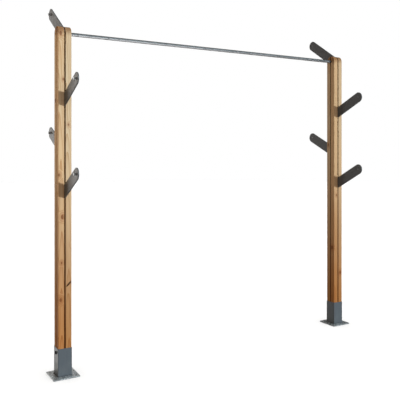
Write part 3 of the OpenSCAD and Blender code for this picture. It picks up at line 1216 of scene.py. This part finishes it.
# %% Hexagons and threads
HEX_STEPS = 72
CHAMFER = math.tan(math.radians(30))
FACE_SHARE = 0.475
UNDER_HEAD_SHARE = 0.47
SHANK_END_SHARE = 0.82
THREAD_DEPTH = 0.45
RINGS_PER_TURN = 8
EDGE_BREAK = 0.0003
NUT_MOUTH = 0.0004


def hexagon_ring(across, height, chamfer_from=None, up=1):
    """A hexagon of points round Z, which drops away where it stands out past the chamfer."""
    points = []
    for step in range(HEX_STEPS):
        turn = 2 * math.pi * step / HEX_STEPS
        from_flat = (turn + math.pi / 6) % (math.pi / 3) - math.pi / 6
        radius = across / 2 / math.cos(from_flat)
        past = 0.0 if chamfer_from is None else max(0.0, radius - chamfer_from)
        spot = (radius * math.cos(turn), radius * math.sin(turn), height - up * past * CHAMFER)
        points.append(Vector(spot))
    return points


def threaded(radius, top, bottom, pitch, fade):
    """Rings of a threaded shank, from top to bottom. The thread fades in over its first turns."""
    depth = THREAD_DEPTH * pitch
    rings, count = [], round((top - bottom) / pitch * RINGS_PER_TURN)
    for at in range(count + 1):
        height = top + (bottom - top) * at / count
        cut_in = depth * min(1.0, (top - height) / fade)
        points = []
        for step in range(HEX_STEPS):
            turn = 2 * math.pi * step / HEX_STEPS
            wave = 0.5 - 0.5 * math.cos(turn + 2 * math.pi * height / pitch)
            here = radius - cut_in * wave
            points.append(Vector((here * math.cos(turn), here * math.sin(turn), height)))
        rings.append(points)
    return rings


def hex_bolt(across, reach, shank_r, pitch, head, thread):
    """A bolt with its head above Z 0 and its shank below it."""
    flat = across * FACE_SHARE
    rings = [
        ring(flat, head, HEX_STEPS), hexagon_ring(across, head, flat),
        hexagon_ring(across, EDGE_BREAK), ring(across * UNDER_HEAD_SHARE, 0, HEX_STEPS),
        ring(shank_r, 0, HEX_STEPS),
    ]
    rings += threaded(shank_r, -reach + thread, -reach + pitch, pitch, 2 * pitch)
    rings.append(ring(shank_r * SHANK_END_SHARE, -reach, HEX_STEPS))
    return skin(rings)


def hex_nut(across, height, bore_r):
    """A nut that stands on Z 0, with both its faces chamfered."""
    flat, mouth = across * FACE_SHARE, bore_r + NUT_MOUTH
    lower = [
        ring(bore_r, EDGE_BREAK, HEX_STEPS), ring(mouth, 0, HEX_STEPS), ring(flat, 0, HEX_STEPS),
        hexagon_ring(across, 0, flat, up=-1),
    ]
    upper = [
        hexagon_ring(across, height, flat), ring(flat, height, HEX_STEPS),
        ring(mouth, height, HEX_STEPS), ring(bore_r, height - EDGE_BREAK, HEX_STEPS),
    ]
    return skin(lower + upper, closed=True)


def washer(outer_r, bore_r, thickness, edge=0.0004):
    """A stamped washer that stands on Z 0."""
    return lathe(
        [
            (bore_r, 0), (outer_r, 0), (outer_r, thickness - edge),
            (outer_r - edge * 0.3, thickness - edge * 0.3), (outer_r - edge, thickness),
            (bore_r + edge, thickness), (bore_r, thickness - edge),
        ],
        closed=True,
    )


def across_flats(box):
    """The hexagon's size across its flats, from the narrower way through its box."""
    size = box[1] - box[0]
    return min(size.y, size.z)


# %% [markdown]
# Each tip bolt goes in from the outer face of its arm, with a washer and a lock nut
# under its head, so that the inner face stays flat. These are zinc plated. The shoe
# screw is a black coach screw with the same kind of head, and it has a washer but no
# nut.

# %% Bolts, nuts and washers
TIP_BOLT = {"shank_r": 0.005, "pitch": 0.0015, "head": 0.0065, "thread": 0.012}
SHOE_SCREW = {"shank_r": 0.006, "pitch": 0.0042, "head": 0.0075, "thread": 0.045}
ZINC = (ZINC_BOLT, "screw_steel")
BLACK = (BOLT_COAT, "bolt_steel")


def seated(side, box, at_outer_end=0.0):
    """Stands a piece drawn on Z 0 on the inner end of its box, or in from the outer end."""
    low, high = box
    inner, outer = (low.x, high.x) if SIDES[side] > 0 else (high.x, low.x)
    seat = outer - SIDES[side] * at_outer_end if at_outer_end else inner
    return Matrix.Translation((seat, middle(box).y, middle(box).z)) @ outwards(SIDES[side])


def add_bolts(side, node, name, sizes, *finish_and_slot):
    """Hexagon bolts or screws in place of a CAD node."""
    shells = []
    for box in solids_of(node):
        reach = box[1].x - box[0].x - sizes["head"]
        bolt = hex_bolt(across_flats(box), reach, **sizes)
        shells.append(placed(seated(side, box, sizes["head"]), bolt))
    hand_over(new_object(name, joined(shells)), *finish_and_slot, node)


def add_washers(side, node, name, bore_r, *finish_and_slot):
    """Flat washers in place of a CAD node."""
    shells = [
        placed(seated(side, box), washer((box[1].z - box[0].z) / 2, bore_r, box[1].x - box[0].x))
        for box in solids_of(node)
    ]
    hand_over(new_object(name, joined(shells)), *finish_and_slot, node)


for side in SIDES:
    add_bolts(side, f"{side}_tip_bolts", f"{side}_arm_tip_bolts", TIP_BOLT, *ZINC)
    add_bolts(side, f"{side}_shoe_screw", f"{side}_coach_screw", SHOE_SCREW, *BLACK)
    tip_bore = TIP_BOLT["shank_r"] + BORE_ROOM
    add_washers(side, f"{side}_tip_washers", f"{side}_arm_tip_washers", tip_bore, *ZINC)
    add_washers(side, f"{side}_shoe_washer", f"{side}_coach_screw_washer", SHOE_HOLE_R, *BLACK)
    nuts = [
        placed(seated(side, box), hex_nut(across_flats(box), box[1].x - box[0].x, TIP_HOLE_R))
        for box in solids_of(f"{side}_tip_nuts")
    ]
    hand_over(new_object(f"{side}_lock_nuts", joined(nuts)), *ZINC, f"{side}_tip_nuts")

# %% [markdown]
# Wooden plugs close the deep bores of the arm screws. They are turned from one plain
# stave, with no groove and no knot near, and their ends are slightly domed. The screws and
# washers behind them can't be seen, so the CAD solids stay and only get a finish.

# %% Plugs and the screws behind them
PLUG_CHAMFER = 0.0008
# The domed end, listed like that of the pins.
PLUG_DOME = [(0, 0.0012), (0.0004, 0.0005), (0.0014, 0.0002)]

# This stave's axis is the middle of the frame, so its grooves, top and knot are far from any plug.
PLUG_WOOD = timber(
    "plug_wood", 0.0, 0.1, POST_TOP + 1, shade=1.0, warmth=(0.9, 0.9, 0.8, 0.8),
    hearts=[(0.1, 0.05)] * 4, knots=[(0.5, 0.5, 0.1, 0.01)],
)

for side in SIDES:
    shells = []
    for low, high in solids_of(f"{side}_screw_plugs"):
        radius, depth = (high.z - low.z) / 2, high.x - low.x
        profile = [(radius - PLUG_CHAMFER, 0), (radius, PLUG_CHAMFER)]
        profile += [(radius - inwards, depth - down) for inwards, down in PLUG_DOME]
        profile.append((radius / 2, depth))
        shells.append(placed(seated(side, (low, high)), lathe(profile)))
    plugs = new_object(f"{side}_wood_plugs", joined(shells))
    hand_over(plugs, PLUG_WOOD, "plug_wood", f"{side}_screw_plugs")
    for node in (f"{side}_arm_screws", f"{side}_screw_washers"):
        hidden = frame["nodes"][node]
        hidden.data.materials.clear()
        hidden.data.materials.append(ZINC_BOLT)
